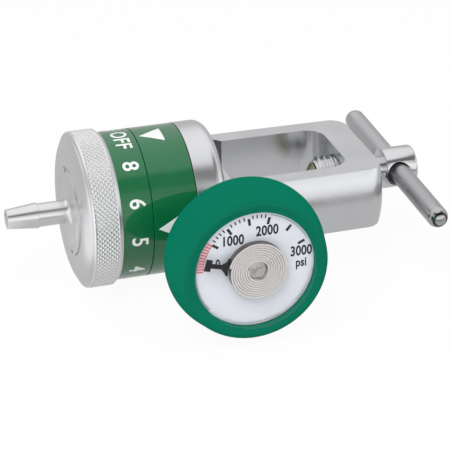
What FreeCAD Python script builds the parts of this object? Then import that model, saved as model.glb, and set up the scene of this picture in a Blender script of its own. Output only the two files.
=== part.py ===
import FreeCAD, Part
import math
import os
import re
import Sketcher

# Oxygen regulator with a pin-indexed yoke. Sizes are in millimetres.
# X runs along the bar: the hose barb is at minus X and the T handle at plus X.
# The gauge faces minus Y and Z is up. The origin is the centre of the inlet seat.
os.makedirs("parts", exist_ok=True)
doc = FreeCAD.newDocument("oxygen_regulator")
sheet = doc.addObject("Spreadsheet::Sheet", "sizes")

SIZES = {
    # Fits
    "running_gap": 0.05,
    "turning_gap": 0.3,
    "paper_thickness": 0.15,
    # Bar and yoke
    "yoke_taper": 0.725,
    "yoke_end_x": 46.0,
    "yoke_end_rounding": 5.0,
    "flat_height": 9.525,
    "window_length": 36.8,
    "window_half_width": 14.2875,
    "window_corner_radius": 6.0,
    "window_flare_half_width": 16.3,
    "window_flare_length": 5.4,
    "window_flare_slope": 2.0,
    "head_end_x": -3.0,
    "head_rounding": 3.3,
    # Label recess and shoulder
    "recess_radius": 22.0,
    "recess_depth": 0.225,
    "label_end_x": -12.7,
    "label_line_width": 0.3,
    "shoulder_x": -26.0,
    "detent_land": 5.0,
    "spigot_end_x": -41.0,
    # Pressure passages
    "chamber_radius": 11.0,
    "chamber_floor_x": -20.0,
    "guide_radius": 4.0,
    "guide_floor_x": -14.0,
    "nozzle_radius": 1.2,
    "cavity_start_x": -10.0,
    "cavity_radius": 3.2,
    # Inlet
    "nipple_thread_radius": 4.5,
    "nipple_depth": 4.3,
    "nipple_radius": 3.3,
    "nipple_length": 5.6,
    "nipple_chamfer": 0.6,
    "nipple_bore_radius": 1.5,
    "filter_radius": 2.1,
    "filter_length": 2.4,
    "filter_sink": 0.2,
    "washer_radius": 6.2,
    "washer_thickness": 2.2,
    "pin_circle_radius": 14.3,
    "pin_angle": 18.0,
    "pin_radius": 2.0,
    "pin_shank_radius": 2.2,
    "pin_reach": 6.0,
    "pin_depth": 7.0,
    "pin_end_rounding": 0.6,
    # Flow knob
    "knurl_radius": 23.4,
    "knurl_left_x": -44.3,
    "knurl_right_x": -36.6,
    "band_left_x": -35.4,
    "band_step_radius": 22.3,
    "rim_inner_radius": 22.5,
    "shoulder_outer_radius": 22.0,
    "shoulder_outer_x": -44.9,
    "shoulder_middle_radius": 20.7,
    "shoulder_middle_x": -45.65,
    "face_radius": 17.0,
    "face_x": -46.2,
    "web_inner_x": -43.6,
    "counterbore_x": -44.5,
    "web_ledge": 2.0,
    "dimple_ball_radius": 1.6,
    "dimple_depth": 0.3,
    "detent_ball_radius": 1.5,
    "detent_hole_radius": 1.6,
    "detent_hole_depth": 7.0,
    "detent_proud": 0.25,
    "detent_coil_radius": 1.0,
    "detent_wire_radius": 0.25,
    "detent_turns": 4.0,
    # Orifice plate and its drive
    "plate_rim_gap": 1.0,
    "plate_thickness": 2.0,
    "plate_hole_radius": 6.3,
    "orifice_circle_radius": 8.0,
    "orifice_small_radius": 0.2,
    "orifice_step": 0.04,
    "drive_pin_radius": 1.0,
    "drive_pin_inset": 1.5,
    "drive_pin_length": 3.6,
    "drive_pin_end_x": -45.2,
    "port_radius": 1.3,
    # Outlet barb
    "disc_pin_gap": 0.4,
    "disc_gap": 0.1,
    "disc_face_x": -46.5,
    "disc_back_x": -44.8,
    "barb_stem_radius": 5.95,
    "barb_stem_end_x": -37.5,
    "barb_neck_radius": 3.5,
    "barb_root_rounding": 1.4,
    "barb_ridge_x": -56.0,
    "barb_ridge_radius": 3.85,
    "barb_tip_x": -65.2,
    "barb_tip_radius": 2.9,
    "barb_bore_radius": 1.9,
    "barb_bore_end_x": -42.5,
    "notch_width": 3.0,
    "notch_radial": 1.3,
    "notch_depth": 0.9,
    "notch_turn": -12.0,
    "groove_inner_radius": 7.0,
    "groove_outer_radius": 9.0,
    "groove_depth": 0.7,
    "cross_bore_radius": 0.6,
    # Cover, piston and seat
    "cover_thickness": 4.0,
    "piston_face_x": -34.0,
    "piston_back_x": -31.0,
    "piston_radius": 10.6,
    "piston_groove_radius": 9.4,
    "piston_groove_width": 1.6,
    "piston_groove_x": -33.3,
    "piston_stem_end_x": -17.0,
    "piston_stem_chamfer": 0.8,
    "piston_bore_radius": 0.9,
    "piston_bore_end_x": -18.2,
    "piston_cross_radius": 0.6,
    "seal_wire_radius": 0.75,
    "seat_thickness": 2.0,
    "spring_coil_radius": 7.5,
    "spring_wire_radius": 0.75,
    "spring_turns": 4.0,
    "spring_margin": 0.02,
    # Yoke screw and T handle
    "screw_radius": 6.35,
    "point_tip_x": 27.5,
    "point_tip_radius": 1.2,
    "point_face_x": 30.0,
    "point_radius": 4.6,
    "point_shank_radius": 2.4,
    "point_shank_length": 4.0,
    "screw_start_radius": 5.2,
    "screw_start_chamfer": 1.1,
    "thread_end_x": 44.6,
    "neck_radius": 3.9,
    "t_head_radius": 6.2,
    "t_head_start_x": 52.2,
    "t_head_end_x": 62.2,
    "t_head_bevel": 1.0,
    "t_bar_x": 56.74,
    "t_bar_radius": 3.175,
    "t_bar_length": 76.2,
    "t_bar_tilt": 2.06,
    "t_hole_radius": 3.9,
    # Gauge stem
    "gauge_x": -5.1,
    "gauge_port_radius": 4.0,
    "gauge_port_end": 14.5,
    "gauge_passage_radius": 1.0,
    "spot_face_radius": 7.5,
    "spot_face_depth": 1.225,
    "gauge_seal_radius": 6.4,
    "gauge_seal_thickness": 1.5,
    "gauge_hex_flats": 11.0,
    "gauge_hex_end": 33.5,
    "gauge_neck_radius": 4.5,
    "gauge_collar_start": 39.4,
    "gauge_collar_radius": 7.0,
    "gauge_socket_radius": 6.0,
    # Gauge case, boot and lens
    "case_offset": -0.6,
    "case_radius": 19.6,
    "case_back": 40.9,
    "case_front": 53.1,
    "case_wall": 0.8,
    "case_floor": 1.0,
    "dial_front": 52.7,
    "dial_thickness": 0.6,
    "dial_gap": 0.1,
    "boot_back": 38.9,
    "boot_back_wall": 3.1,
    "boot_back_rounding": 3.0,
    "boot_hole_gap": 2.5,
    "boot_waist": 44.7,
    "boot_waist_wall": 4.15,
    "boot_waist_rounding": 14.0,
    "boot_front": 54.95,
    "boot_front_wall": 1.65,
    "boot_front_rounding": 1.6,
    "boot_lip_front": 53.8,
    "boot_lip_cover": 1.95,
    "lens_flange_gap": 0.05,
    "lens_lip_gap": 0.1,
    "lens_front": 57.0,
    "lens_thickness": 0.55,
    "lens_rounding": 1.6,
    # Gauge movement
    "post_radius": 2.0,
    "post_collar_radius": 2.6,
    "post_collar_height": 1.0,
    "post_nub_radius": 1.3,
    "post_front": 56.1,
    "post_sink": 6.0,
    "post_slot_width": 0.5,
    "post_slot_depth": 0.5,
    "coil_start_radius": 2.8,
    "coil_pitch": 0.7,
    "coil_ribbon": 0.57,
    "coil_back": 53.1,
    "coil_front": 55.3,
    "pointer_back": 54.5,
    "pointer_front": 54.9,
    "pointer_root_gap": 0.1,
    "pointer_root_width": 0.6,
    "pointer_root_angle": 30.0,
    "pointer_root_half_width": 2.2,
    "pointer_taper_length": 1.5,
    "pointer_arm_half_width": 0.65,
    "pointer_flag_length": 1.75,
    "pointer_flag_half_width": 1.75,
    "pointer_tip_gap": 0.95,
    "pointer_angle": 75.0,
}
for row, (name, value) in enumerate(SIZES.items(), start=1):
    sheet.set("A%d" % row, str(value))
    sheet.setAlias("A%d" % row, name)
doc.recompute()

COIL_HALF_TURNS = 16
FLOW_POSITIONS = 12
ORIFICES = 11


def bound(text):
    """The formula with each size name pointed at the sheet."""
    return re.sub(r"[a-z][a-z_0-9]*",
                  lambda word: "sizes." + word.group(0) if word.group(0) in SIZES else word.group(0), text)


def amount(text):
    """The number that a formula of sizes gives."""
    return float(sheet.evalExpression(text))


def plane_of(body, role):
    """One of the body's own origin planes."""
    return [part for part in body.Origin.OriginFeatures if part.Role == role][0]


def outline_sketch(body, name, corners, role):
    """Closed outline whose corners all take their two distances from the sheet."""
    sketch = body.newObject("Sketcher::SketchObject", name)
    sketch.AttachmentSupport = (plane_of(body, role), "")
    sketch.MapMode = "FlatFace"
    places = [FreeCAD.Vector(amount(u), amount(v), 0) for u, v in corners]
    count = len(places)
    for number in range(count):
        sketch.addGeometry(Part.LineSegment(places[number], places[(number + 1) % count]), False)
    for number in range(count):
        sketch.addConstraint(Sketcher.Constraint("Coincident", number, 2, (number + 1) % count, 1))
    for number, (u, v) in enumerate(corners):
        for kind, axis, text, value in (("DistanceX", -2, u, places[number].x), ("DistanceY", -1, v, places[number].y)):
            if abs(value) < 1e-9:
                sketch.addConstraint(Sketcher.Constraint("PointOnObject", number, 1, axis))
            else:
                index = sketch.addConstraint(Sketcher.Constraint(kind, -1, 1, number, 1, value))
                sketch.setExpression("Constraints[%d]" % index, bound(text))
    return sketch


def turned(name, corners, angle=360):
    """Body turned about X from corners given as distance along the axis and radius."""
    body = doc.addObject("PartDesign::Body", name)
    sketch = outline_sketch(body, name + "_outline", corners, "XY_Plane")
    turn = body.newObject("PartDesign::Revolution", name + "_turn")
    turn.Profile = sketch
    turn.ReferenceAxis = (sketch, ["H_Axis"])
    turn.Angle = angle
    turn.Midplane = angle < 360
    body.Tip = turn
    doc.recompute()
    return body


def rounded(body, radius, corners):
    """Round the circular edges found at these distances and radii."""
    places = [(amount(u), amount(v)) for u, v in corners]
    base = body.Tip
    edges = []
    for number, edge in enumerate(base.Shape.Edges, start=1):
        if isinstance(edge.Curve, Part.Circle):
            for u, v in places:
                if abs(edge.Curve.Center.x - u) < 0.01 and abs(edge.Curve.Radius - v) < 0.01:
                    edges.append("Edge%d" % number)
    fillet = body.newObject("PartDesign::Fillet", body.Name + "_" + "rounding")
    fillet.Base = (base, edges)
    fillet.setExpression("Radius", bound(radius))
    body.Tip = fillet
    doc.recompute()
    return body


def prism(name, corners, height):
    """Upright body with a straight-sided plan, centred on the plane Z = 0."""
    body = doc.addObject("PartDesign::Body", name)
    sketch = outline_sketch(body, name + "_plan", corners, "XY_Plane")
    pad = body.newObject("PartDesign::Pad", name + "_pad")
    pad.Profile = sketch
    pad.Midplane = True
    pad.setExpression("Length", bound(height))
    body.Tip = pad
    doc.recompute()
    return body


TURN_TO = {
    "x": FreeCAD.Rotation(FreeCAD.Vector(0, 1, 0), 90),
    "front": FreeCAD.Rotation(FreeCAD.Vector(1, 0, 0), 90),
    "z": FreeCAD.Rotation(),
}


def place(thing, where):
    """Bind the three base coordinates to the sheet."""
    for letter, text in zip("xyz", where):
        if text != "0":
            thing.setExpression("Placement.Base." + letter, bound(text))


def rod(name, radius, length, where, way):
    """Cylinder from a point in one of the three directions."""
    thing = doc.addObject("Part::Cylinder", name)
    thing.setExpression("Radius", bound(radius))
    thing.setExpression("Height", bound(length))
    thing.Placement = FreeCAD.Placement(FreeCAD.Vector(0, 0, 0), TURN_TO[way])
    place(thing, where)
    return thing


def ball(name, radius, where):
    """Sphere about a point."""
    thing = doc.addObject("Part::Sphere", name)
    thing.setExpression("Radius", bound(radius))
    place(thing, where)
    return thing


def block(name, size, where):
    """Box with its low corner at a point."""
    thing = doc.addObject("Part::Box", name)
    for side, text in zip(("Length", "Width", "Height"), size):
        thing.setExpression(side, bound(text))
    place(thing, where)
    return thing


def joined(name, things):
    """Solids run into one."""
    whole = doc.addObject("Part::MultiFuse", name)
    whole.Shapes = things
    doc.recompute()
    return whole


def shared(name, things):
    """Material that all of the solids have in common."""
    whole = doc.addObject("Part::MultiCommon", name)
    whole.Shapes = things
    doc.recompute()
    return whole


def cut_from(name, base, tools):
    """Solid with each tool taken out of it."""
    tool = tools[0] if len(tools) == 1 else joined(name + "_tools", tools)
    whole = doc.addObject("Part::Cut", name)
    whole.Base = base
    whole.Tool = tool
    doc.recompute()
    return whole


def on_gauge(thing, roll=0.0, where="gauge_x"):
    """Stand a piece turned about X on the gauge or case axis, facing the front."""
    spin = FreeCAD.Rotation(FreeCAD.Vector(1, 0, 0), roll)
    thing.Placement = FreeCAD.Placement(FreeCAD.Vector(0, 0, 0), FreeCAD.Rotation(FreeCAD.Vector(0, 0, 1), -90) * spin)
    place(thing, (where, "0", "0"))
    return thing


def spring(name, coil_radius, wire_radius, start, length, turns):
    """Round wire wound about X between two faces."""
    body = doc.addObject("PartDesign::Body", name)
    sketch = body.newObject("Sketcher::SketchObject", name + "_wire")
    sketch.AttachmentSupport = (plane_of(body, "XY_Plane"), "")
    sketch.MapMode = "FlatFace"
    first = "(%s) + (%s) + spring_margin" % (start, wire_radius)
    centre = FreeCAD.Vector(amount(first), amount(coil_radius), 0)
    sketch.addGeometry(Part.Circle(centre, FreeCAD.Vector(0, 0, 1), amount(wire_radius)), False)
    for kind, text, value in (("DistanceX", first, centre.x), ("DistanceY", coil_radius, centre.y)):
        index = sketch.addConstraint(Sketcher.Constraint(kind, -1, 1, 0, 3, value))
        sketch.setExpression("Constraints[%d]" % index, bound(text))
    index = sketch.addConstraint(Sketcher.Constraint("Radius", 0, amount(wire_radius)))
    sketch.setExpression("Constraints[%d]" % index, bound(wire_radius))
    wound = body.newObject("PartDesign::AdditiveHelix", name + "_winding")
    wound.Profile = sketch
    wound.ReferenceAxis = (sketch, ["H_Axis"])
    wound.Mode = "height-turns-angle"
    rise = "(%s) - 2 * (%s) - 2 * spring_margin" % (length, wire_radius)
    wound.setExpression("Height", bound(rise))
    wound.setExpression("Turns", bound(turns))
    body.Tip = wound
    doc.recompute()
    return body


nodes = []


def node(name, thing):
    """Give a finished piece its name."""
    thing.Label = name
    nodes.append(thing)
    return thing


# Regulator body
bar_radius = "(recess_radius + recess_depth)"
spot_face_at = "(%s - spot_face_depth)" % bar_radius
yoke_end = "(%s - yoke_taper)" % bar_radius
spigot = "(recess_radius - detent_land)"
head = turned("head_blank", [
    ("spigot_end_x", "0"),
    ("spigot_end_x", spigot),
    ("shoulder_x", spigot),
    ("shoulder_x", "recess_radius"),
    ("label_end_x + label_line_width", "recess_radius"),
    ("label_end_x + label_line_width", bar_radius),
    ("head_end_x", bar_radius),
    ("head_end_x", "0"),
])
rounded(head, "head_rounding", [("head_end_x", bar_radius)])
bar = turned("yoke_bar", [
    ("label_end_x + 1", "0"),
    ("label_end_x + 1", bar_radius),
    ("0", bar_radius),
    ("yoke_end_x", yoke_end),
    ("yoke_end_x", "0"),
])
rounded(bar, "yoke_end_rounding", [("yoke_end_x", yoke_end)])
flats = block("yoke_flats", ("yoke_end_x - label_end_x", "2 * " + bar_radius + " + 2", "2 * flat_height"),
              ("label_end_x + 1", "-" + bar_radius + " - 1", "-flat_height"))
slab = shared("yoke_slab", [bar, flats])
window = prism("window_plan", [
    ("0", "-window_flare_half_width"),
    ("window_flare_length - window_flare_slope", "-window_flare_half_width"),
    ("window_flare_length", "-window_half_width"),
    ("window_length - window_corner_radius", "-window_half_width"),
    ("window_length - window_corner_radius", "window_half_width"),
    ("window_flare_length", "window_half_width"),
    ("window_flare_length - window_flare_slope", "window_flare_half_width"),
    ("0", "window_flare_half_width"),
], "4 * flat_height")
window_end = block("window_end",
                   ("2 * window_corner_radius", "2 * (window_half_width - window_corner_radius)", "4 * flat_height"),
                   ("window_length - 2 * window_corner_radius", "window_corner_radius - window_half_width",
                    "-2 * flat_height"))
window_corners = [rod("window_corner_" + side, "window_corner_radius", "4 * flat_height",
                      ("window_length - window_corner_radius",
                       sign + "(window_half_width - window_corner_radius)", "-2 * flat_height"), "z")
                  for side, sign in (("front", "-"), ("back", ""))]
bores = turned("pressure_bores", [
    ("spigot_end_x - 1", "0"),
    ("spigot_end_x - 1", "chamber_radius"),
    ("chamber_floor_x", "chamber_radius"),
    ("chamber_floor_x", "guide_radius"),
    ("guide_floor_x", "guide_radius"),
    ("guide_floor_x", "nozzle_radius"),
    ("cavity_start_x", "nozzle_radius"),
    ("cavity_start_x", "cavity_radius"),
    ("-nipple_depth", "cavity_radius"),
    ("-nipple_depth", "nipple_thread_radius"),
    ("1", "nipple_thread_radius"),
    ("1", "0"),
])
screw_hole = rod("screw_hole", "screw_radius + running_gap", "yoke_end_x - window_length + 4",
                 ("window_length - 2", "0", "0"), "x")
gauge_port = rod("gauge_port", "gauge_port_radius", bar_radius + " - gauge_port_end + 1",
                 ("gauge_x", "-gauge_port_end", "0"), "front")
gauge_passage = rod("gauge_passage", "gauge_passage_radius", "gauge_port_end", ("gauge_x", "-1", "0"), "front")
spot_face = rod("spot_face", "spot_face_radius", "3", ("gauge_x", "-" + spot_face_at, "0"), "front")
detent_circle = "(recess_radius - detent_land / 2)"
detent_hole = rod("detent_hole", "detent_hole_radius", "detent_hole_depth + 1",
                  ("shoulder_x - 1", detent_circle, "0"), "x")
pin_holes = [rod("pin_hole_" + side, "pin_shank_radius", "pin_depth + 1",
                 ("head_end_x - pin_depth", sign + "pin_circle_radius * sin(pin_angle * 1 deg)",
                  "-pin_circle_radius * cos(pin_angle * 1 deg)"), "x")
             for side, sign in (("front", "-"), ("back", ""))]
node("regulator_body", cut_from("regulator_body", joined("body_blank", [head, slab]),
                                [joined("yoke_window", [window, window_end] + window_corners),
                                 bores, screw_hole, gauge_port, gauge_passage, spot_face, detent_hole] + pin_holes))

# Printed label on the fixed head
node("fixed_label", turned("fixed_label", [
    ("shoulder_x + 0.05", "recess_radius"),
    ("shoulder_x + 0.05", "recess_radius + paper_thickness"),
    ("label_end_x", "recess_radius + paper_thickness"),
    ("label_end_x", "recess_radius"),
]))

# Inlet nipple, its filter, the sealing washer and the two index pins
node("inlet_nipple", turned("inlet_nipple", [
    ("-nipple_depth", "nipple_bore_radius"),
    ("-nipple_depth", "nipple_thread_radius"),
    ("0", "nipple_thread_radius"),
    ("0", "nipple_radius"),
    ("nipple_length - nipple_chamfer", "nipple_radius"),
    ("nipple_length", "nipple_radius - nipple_chamfer"),
    ("nipple_length", "filter_radius"),
    ("nipple_length - filter_sink - filter_length", "filter_radius"),
    ("nipple_length - filter_sink - filter_length", "nipple_bore_radius"),
]))
node("inlet_filter", turned("inlet_filter", [
    ("nipple_length - filter_sink - filter_length", "0"),
    ("nipple_length - filter_sink - filter_length", "filter_radius"),
    ("nipple_length - filter_sink", "filter_radius"),
    ("nipple_length - filter_sink", "0"),
]))
node("sealing_washer", turned("sealing_washer", [
    ("0", "nipple_radius"),
    ("0", "washer_radius"),
    ("washer_thickness", "washer_radius"),
    ("washer_thickness", "nipple_radius"),
]))
for side, sign in (("front", "-"), ("back", "")):
    pin = turned("index_pin_" + side, [
        ("head_end_x - pin_depth", "0"),
        ("head_end_x - pin_depth", "pin_shank_radius"),
        ("head_end_x", "pin_shank_radius"),
        ("head_end_x", "pin_radius"),
        ("pin_reach", "pin_radius"),
        ("pin_reach", "0"),
    ])
    rounded(pin, "pin_end_rounding", [("pin_reach", "pin_radius")])
    place(pin, ("0", sign + "pin_circle_radius * sin(pin_angle * 1 deg)",
                "-pin_circle_radius * cos(pin_angle * 1 deg)"))
    node("index_pin_" + side, pin)

# Flow knob with its skirt, web and detent dimples
plate_rim = "(%s - plate_rim_gap)" % spigot
drive_pin_circle = "(%s - drive_pin_inset)" % plate_rim
disc_rim = "(%s - drive_pin_radius - disc_pin_gap)" % drive_pin_circle
web_hole = "(%s - web_ledge)" % disc_rim
knob = turned("knob_blank", [
    ("face_x", disc_rim + " + disc_gap"),
    ("face_x", "face_radius"),
    ("shoulder_middle_x", "shoulder_middle_radius"),
    ("shoulder_outer_x", "shoulder_outer_radius"),
    ("knurl_left_x", "rim_inner_radius"),
    ("knurl_left_x", "knurl_radius"),
    ("knurl_right_x", "knurl_radius"),
    ("band_left_x", "band_step_radius"),
    ("band_left_x", "recess_radius"),
    ("shoulder_x - turning_gap", "recess_radius"),
    ("shoulder_x - turning_gap", spigot + " + running_gap"),
    ("web_inner_x", spigot + " + running_gap"),
    ("web_inner_x", web_hole),
    ("counterbore_x", web_hole),
    ("counterbore_x", disc_rim + " + disc_gap"),
])
knob_tools = []
for number in range(FLOW_POSITIONS):
    turn_text = "(%d * 30 + 90) * 1 deg" % number
    knob_tools.append(ball("dimple_%02d" % number, "dimple_ball_radius",
                           ("shoulder_x - turning_gap - dimple_depth + dimple_ball_radius",
                            "%s * sin(%s)" % (detent_circle, turn_text),
                            "%s * cos(%s)" % (detent_circle, turn_text))))
for side, sign in (("front", "-"), ("back", "")):
    knob_tools.append(rod("drive_hole_" + side, "drive_pin_radius", "drive_pin_length",
                          ("drive_pin_end_x", sign + drive_pin_circle, "0"), "x"))
node("flow_knob", cut_from("flow_knob", knob, knob_tools))

# Printed flow numbers round the knob
node("number_band", turned("number_band", [
    ("band_left_x", "recess_radius"),
    ("band_left_x", "recess_radius + paper_thickness"),
    ("shoulder_x - turning_gap - 0.05", "recess_radius + paper_thickness"),
    ("shoulder_x - turning_gap - 0.05", "recess_radius"),
]))

# Orifice plate with eleven metering holes, and the two pins that drive it
plate = turned("plate_blank", [
    ("web_inner_x + turning_gap", "plate_hole_radius"),
    ("web_inner_x + turning_gap", plate_rim),
    ("web_inner_x + turning_gap + plate_thickness", plate_rim),
    ("web_inner_x + turning_gap + plate_thickness", "plate_hole_radius"),
])
plate_tools = []
for number in range(1, ORIFICES + 1):
    turn_text = "(%d * 30) * 1 deg" % number
    plate_tools.append(rod("orifice_%02d" % number, "orifice_small_radius + %d * orifice_step" % number,
                           "plate_thickness + 2",
                           ("web_inner_x + turning_gap - 1", "orifice_circle_radius * sin(%s)" % turn_text,
                            "orifice_circle_radius * cos(%s)" % turn_text), "x"))
for side, sign in (("front", "-"), ("back", "")):
    plate_tools.append(rod("plate_pin_hole_" + side, "drive_pin_radius", "plate_thickness + 2",
                           ("web_inner_x + turning_gap - 1", sign + drive_pin_circle, "0"), "x"))
node("orifice_plate", cut_from("orifice_plate", plate, plate_tools))
for side, sign in (("front", "-"), ("back", "")):
    pin = turned("drive_pin_" + side, [
        ("drive_pin_end_x", "0"),
        ("drive_pin_end_x", "drive_pin_radius"),
        ("drive_pin_end_x + drive_pin_length", "drive_pin_radius"),
        ("drive_pin_end_x + drive_pin_length", "0"),
    ])
    place(pin, ("0", sign + drive_pin_circle, "0"))
    node("drive_pin_" + side, pin)

# Outlet barb with the disc that keeps the knob on
barb = turned("barb_blank", [
    ("barb_tip_x", "0"),
    ("barb_tip_x", "barb_tip_radius"),
    ("barb_ridge_x", "barb_ridge_radius"),
    ("barb_ridge_x", "barb_neck_radius"),
    ("disc_face_x", "barb_neck_radius"),
    ("disc_face_x", disc_rim),
    ("disc_back_x", disc_rim),
    ("disc_back_x", web_hole + " - turning_gap"),
    ("web_inner_x", web_hole + " - turning_gap"),
    ("web_inner_x", "barb_stem_radius"),
    ("barb_stem_end_x", "barb_stem_radius"),
    ("barb_stem_end_x", "0"),
])
rounded(barb, "barb_root_rounding", [("disc_face_x", "barb_neck_radius")])
barb_bore = rod("barb_bore", "barb_bore_radius", "barb_bore_end_x - barb_tip_x + 1", ("barb_tip_x - 1", "0", "0"), "x")
gas_groove = turned("gas_groove", [
    ("web_inner_x - groove_depth", "groove_inner_radius"),
    ("web_inner_x - groove_depth", "groove_outer_radius"),
    ("web_inner_x + 1", "groove_outer_radius"),
    ("web_inner_x + 1", "groove_inner_radius"),
])
cross_bore = rod("cross_bore", "cross_bore_radius", "2 * groove_outer_radius - 1",
                 ("web_inner_x - groove_depth", "0", "0.5 - groove_outer_radius"), "z")
notches = []
for side, low in (("top", "(%s - notch_radial)" % disc_rim), ("bottom", "(-%s - 1)" % disc_rim)):
    notch = block("notch_" + side, ("notch_depth + 1", "notch_width", "notch_radial + 1"),
                  ("disc_face_x - 1",
                   "-notch_width / 2 * cos(notch_turn * 1 deg) - %s * sin(notch_turn * 1 deg)" % low,
                   "%s * cos(notch_turn * 1 deg) - notch_width / 2 * sin(notch_turn * 1 deg)" % low))
    notch.Placement.Rotation = FreeCAD.Rotation(FreeCAD.Vector(1, 0, 0), 1)
    notch.setExpression("Placement.Rotation.Angle", bound("notch_turn * 1 deg"))
    notches.append(notch)
node("outlet_barb", cut_from("outlet_barb", barb, [barb_bore, gas_groove, cross_bore] + notches))

# Chamber cover with the gas port
cover = turned("cover_blank", [
    ("spigot_end_x", "barb_stem_radius"),
    ("spigot_end_x", "chamber_radius"),
    ("spigot_end_x + cover_thickness", "chamber_radius"),
    ("spigot_end_x + cover_thickness", "barb_stem_radius"),
])
node("chamber_cover", cut_from("chamber_cover", cover,
                               [rod("cover_port", "port_radius", "cover_thickness + 2",
                                    ("spigot_end_x - 1", "0", "orifice_circle_radius"), "x")]))

# Pressure piston, its seal and spring, and the valve seat
piston = turned("piston_blank", [
    ("piston_face_x", "piston_bore_radius"),
    ("piston_face_x", "piston_radius"),
    ("piston_groove_x", "piston_radius"),
    ("piston_groove_x", "piston_groove_radius"),
    ("piston_groove_x + piston_groove_width", "piston_groove_radius"),
    ("piston_groove_x + piston_groove_width", "piston_radius"),
    ("piston_back_x", "piston_radius"),
    ("piston_back_x", "guide_radius - running_gap"),
    ("piston_stem_end_x - piston_stem_chamfer", "guide_radius - running_gap"),
    ("piston_stem_end_x", "guide_radius - running_gap - piston_stem_chamfer"),
    ("piston_stem_end_x", "0"),
    ("piston_bore_end_x", "0"),
    ("piston_bore_end_x", "piston_bore_radius"),
])
node("piston", cut_from("piston", piston,
                        [rod("piston_cross_bore", "piston_cross_radius", "2 * guide_radius + 2",
                             ("piston_bore_end_x - piston_cross_radius", "0", "-guide_radius - 1"), "z")]))
seal = doc.addObject("Part::Torus", "piston_seal")
seal.setExpression("Radius1", bound("chamber_radius - running_gap - seal_wire_radius"))
seal.setExpression("Radius2", bound("seal_wire_radius"))
seal.Placement = FreeCAD.Placement(FreeCAD.Vector(0, 0, 0), TURN_TO["x"])
place(seal, ("piston_groove_x + piston_groove_width / 2", "0", "0"))
node("piston_seal", seal)
node("piston_spring", spring("piston_spring", "spring_coil_radius", "spring_wire_radius", "piston_back_x",
                             "chamber_floor_x - piston_back_x", "spring_turns"))
node("valve_seat", turned("valve_seat", [
    ("guide_floor_x - seat_thickness", "nozzle_radius"),
    ("guide_floor_x - seat_thickness", "guide_radius"),
    ("guide_floor_x", "guide_radius"),
    ("guide_floor_x", "nozzle_radius"),
]))

# Detent ball and spring that click the knob into place
node("detent_ball", ball("detent_ball", "detent_ball_radius",
                         ("shoulder_x - detent_proud + detent_ball_radius", detent_circle, "0")))
detent_spring = spring("detent_spring", "detent_coil_radius", "detent_wire_radius",
                       "shoulder_x - detent_proud + 2 * detent_ball_radius",
                       "detent_hole_depth + detent_proud - 2 * detent_ball_radius", "detent_turns")
place(detent_spring, ("0", detent_circle, "0"))
node("detent_spring", detent_spring)

# Swivel point of the yoke screw
point = turned("screw_point", [
    ("point_tip_x", "0"),
    ("point_tip_x", "point_tip_radius"),
    ("point_face_x", "point_radius"),
    ("point_face_x", "point_shank_radius"),
    ("point_face_x + point_shank_length", "point_shank_radius"),
    ("point_face_x + point_shank_length", "0"),
])
node("screw_point", point)

# Yoke screw with its T head
screw = turned("screw_blank", [
    ("point_face_x + turning_gap", "point_shank_radius + running_gap"),
    ("point_face_x + turning_gap", "screw_start_radius"),
    ("point_face_x + turning_gap + screw_start_chamfer", "screw_radius"),
    ("thread_end_x", "screw_radius"),
    ("thread_end_x + screw_radius - neck_radius", "neck_radius"),
    ("t_head_start_x", "neck_radius"),
    ("t_head_start_x", "t_head_radius"),
    ("t_head_end_x - t_head_bevel", "t_head_radius"),
    ("t_head_end_x", "t_head_radius - t_head_bevel"),
    ("t_head_end_x", "0"),
    ("point_face_x + point_shank_length + turning_gap", "0"),
    ("point_face_x + point_shank_length + turning_gap", "point_shank_radius + running_gap"),
])
t_hole = doc.addObject("Part::Cylinder", "t_hole")
t_hole.setExpression("Radius", bound("t_hole_radius"))
t_hole.setExpression("Height", bound("4 * t_head_radius"))
t_hole.Placement = FreeCAD.Placement(FreeCAD.Vector(0, 0, 0), FreeCAD.Rotation(FreeCAD.Vector(1, 0, 0), 90))
t_hole.setExpression("Placement.Rotation.Angle", bound("(90 + t_bar_tilt) * 1 deg"))
place(t_hole, ("t_bar_x - t_hole_radius + t_bar_radius", "2 * t_head_radius * cos(t_bar_tilt * 1 deg)",
               "2 * t_head_radius * sin(t_bar_tilt * 1 deg)"))
node("yoke_screw", cut_from("yoke_screw", screw, [t_hole]))

# T bar with round ends, through the head
bar_rod = turned("t_bar", [
    ("-t_bar_length / 2", "0"),
    ("-t_bar_length / 2", "t_bar_radius"),
    ("t_bar_length / 2", "t_bar_radius"),
    ("t_bar_length / 2", "0"),
])
rounded(bar_rod, "t_bar_radius - 0.02", [("-t_bar_length / 2", "t_bar_radius"), ("t_bar_length / 2", "t_bar_radius")])
tilt = FreeCAD.Rotation(FreeCAD.Vector(1, 0, 0), amount("t_bar_tilt"))
bar_rod.Placement = FreeCAD.Placement(FreeCAD.Vector(0, 0, 0), tilt * FreeCAD.Rotation(FreeCAD.Vector(0, 0, 1), 90))
place(bar_rod, ("t_bar_x", "0", "0"))
node("t_bar", bar_rod)

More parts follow.
